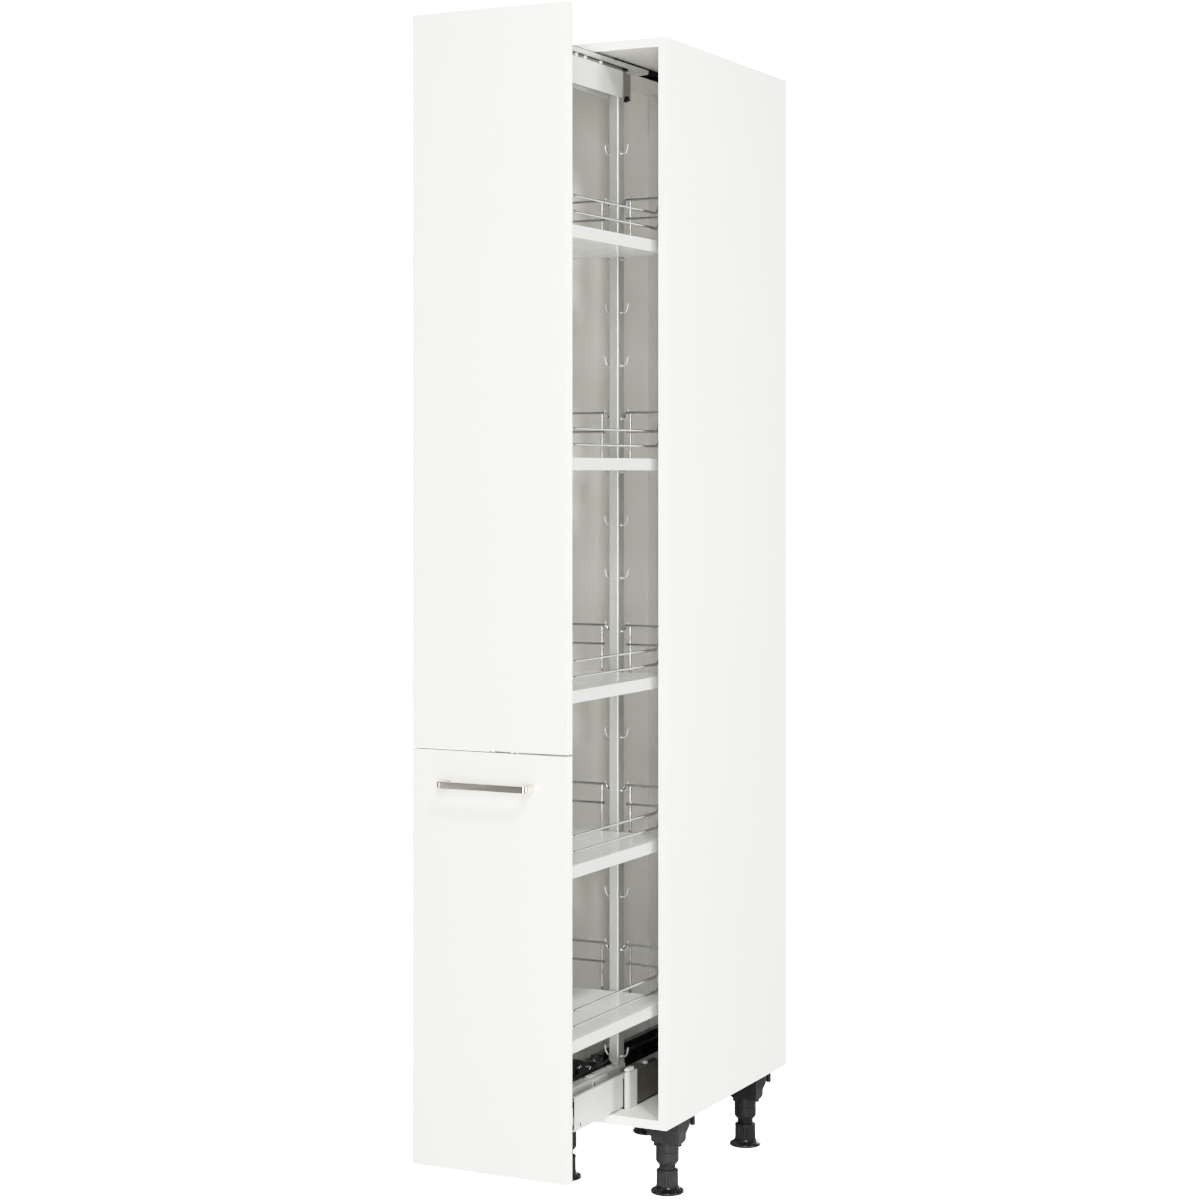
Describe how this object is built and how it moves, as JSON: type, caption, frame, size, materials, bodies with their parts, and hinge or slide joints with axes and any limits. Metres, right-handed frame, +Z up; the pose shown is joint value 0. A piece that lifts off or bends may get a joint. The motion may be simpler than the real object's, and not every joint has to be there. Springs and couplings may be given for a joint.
{
  "type": "pull-out larder unit",
  "caption": "Tall narrow pull-out larder cabinet in white with a split front, bar handle, full-height frame with hooked-in gallery shelves, and levelling feet.",
  "frame": {"origin": "middle of the footprint, at the floor under the feet, with the unit pulled out as in the rest pose", "axes": "+X to the right seen from the front, +Y from the front to the back of the cabinet, +Z up; the fronts face -Y and pull out along -Y"},
  "size_m": [0.3, 0.972, 2.09],
  "materials": {
    "front_white": "gloss",
    "panel_white": "satin",
    "shelf_white": "satin",
    "rail_light_grey": "satin",
    "rail_black": "satin",
    "zinc_steel": "satin",
    "chrome_wire": "polished",
    "handle_steel": "satin",
    "cap_grey_plastic": "matte",
    "button_white": "satin",
    "black_plastic": "satin",
    "foot_grey_plastic": "matte",
    "foot_black_plastic": "matte"
  },
  "bodies": {
    "carcase": {"side_panel_left": "panel_white", "side_panel_right": "panel_white", "top_panel": "panel_white", "bottom_panel": "panel_white", "back_panel": "panel_white", "rear_stretcher_top": "panel_white", "rear_stretcher_bottom": "panel_white", "foot_socket_front_left": "foot_grey_plastic", "foot_socket_front_right": "foot_grey_plastic", "foot_socket_rear_left": "foot_black_plastic", "foot_socket_rear_right": "foot_black_plastic", "runner_floor_plate": "rail_light_grey", "fixed_rail_left": "rail_black", "fixed_rail_right": "rail_black", "end_cap_left": "cap_grey_plastic", "end_cap_right": "cap_grey_plastic", "cap_button_left": "button_white", "cap_button_right": "button_white", "damper_striker": "zinc_steel", "top_fixed_rail": "rail_black"},
    "bottom_mid": {"middle_runner": "rail_light_grey"},
    "top_mid": {"top_middle_rail": "zinc_steel"},
    "pullout": {"upper_front": "front_white", "lower_front": "front_white", "handle": "handle_steel", "handle_screw_left": "zinc_steel", "handle_screw_right": "zinc_steel", "front_post": "zinc_steel", "rear_post": "zinc_steel", "front_bracket_lower_1": "zinc_steel", "front_bracket_lower_2": "zinc_steel", "front_bracket_upper_1": "zinc_steel", "front_bracket_upper_2": "zinc_steel", "front_bracket_upper_3": "zinc_steel", "top_beam": "rail_light_grey", "top_inner_rail": "zinc_steel", "beam_clamp": "black_plastic", "carriage": "zinc_steel", "soft_close_unit": "black_plastic"},
    "shelf_1": {"shelf_board_1": "shelf_white", "shelf_gallery_1": "chrome_wire"},
    "shelf_2": {"shelf_board_2": "shelf_white", "shelf_gallery_2": "chrome_wire"},
    "shelf_3": {"shelf_board_3": "shelf_white", "shelf_gallery_3": "chrome_wire"},
    "shelf_4": {"shelf_board_4": "shelf_white", "shelf_gallery_4": "chrome_wire"},
    "shelf_5": {"shelf_board_5": "shelf_white", "shelf_gallery_5": "chrome_wire"},
    "levelling_foot_front_left": {"foot_front_left": "foot_grey_plastic"},
    "levelling_foot_front_right": {"foot_front_right": "foot_grey_plastic"},
    "levelling_foot_rear_left": {"foot_rear_left": "foot_black_plastic"},
    "levelling_foot_rear_right": {"foot_rear_right": "foot_black_plastic"}
  },
  "joints": [
    {"name": "pull_out", "type": "slide", "parent": "carcase", "child": "pullout", "axis": [0, -1, 0], "range_m": [-0.362, 0.098]},
    {"name": "bottom_mid_travel", "type": "slide", "parent": "carcase", "child": "bottom_mid", "axis": [0, -1, 0], "range_m": [-0.1815, 0.0495]},
    {"name": "top_mid_travel", "type": "slide", "parent": "carcase", "child": "top_mid", "axis": [0, -1, 0], "range_m": [-0.1815, 0.0495]},
    {"name": "shelf_1_lift", "type": "slide", "parent": "pullout", "child": "shelf_1", "axis": [0, 0, 1], "range_m": [0, 0.02]},
    {"name": "shelf_2_lift", "type": "slide", "parent": "pullout", "child": "shelf_2", "axis": [0, 0, 1], "range_m": [0, 0.02]},
    {"name": "shelf_3_lift", "type": "slide", "parent": "pullout", "child": "shelf_3", "axis": [0, 0, 1], "range_m": [0, 0.02]},
    {"name": "shelf_4_lift", "type": "slide", "parent": "pullout", "child": "shelf_4", "axis": [0, 0, 1], "range_m": [0, 0.02]},
    {"name": "shelf_5_lift", "type": "slide", "parent": "pullout", "child": "shelf_5", "axis": [0, 0, 1], "range_m": [0, 0.02]},
    {"name": "foot_front_left_adjust", "type": "slide", "parent": "carcase", "child": "levelling_foot_front_left", "axis": [0, 0, 1], "range_m": [-0.02, 0.01]},
    {"name": "foot_front_right_adjust", "type": "slide", "parent": "carcase", "child": "levelling_foot_front_right", "axis": [0, 0, 1], "range_m": [-0.02, 0.01]},
    {"name": "foot_rear_left_adjust", "type": "slide", "parent": "carcase", "child": "levelling_foot_rear_left", "axis": [0, 0, 1], "range_m": [-0.02, 0.01]},
    {"name": "foot_rear_right_adjust", "type": "slide", "parent": "carcase", "child": "levelling_foot_rear_right", "axis": [0, 0, 1], "range_m": [-0.02, 0.01]}
  ],
  "couplings": [
    {"joint": "bottom_mid_travel", "follows": "pull_out", "ratio": 0.5},
    {"joint": "top_mid_travel", "follows": "pull_out", "ratio": 0.5}
  ]
}
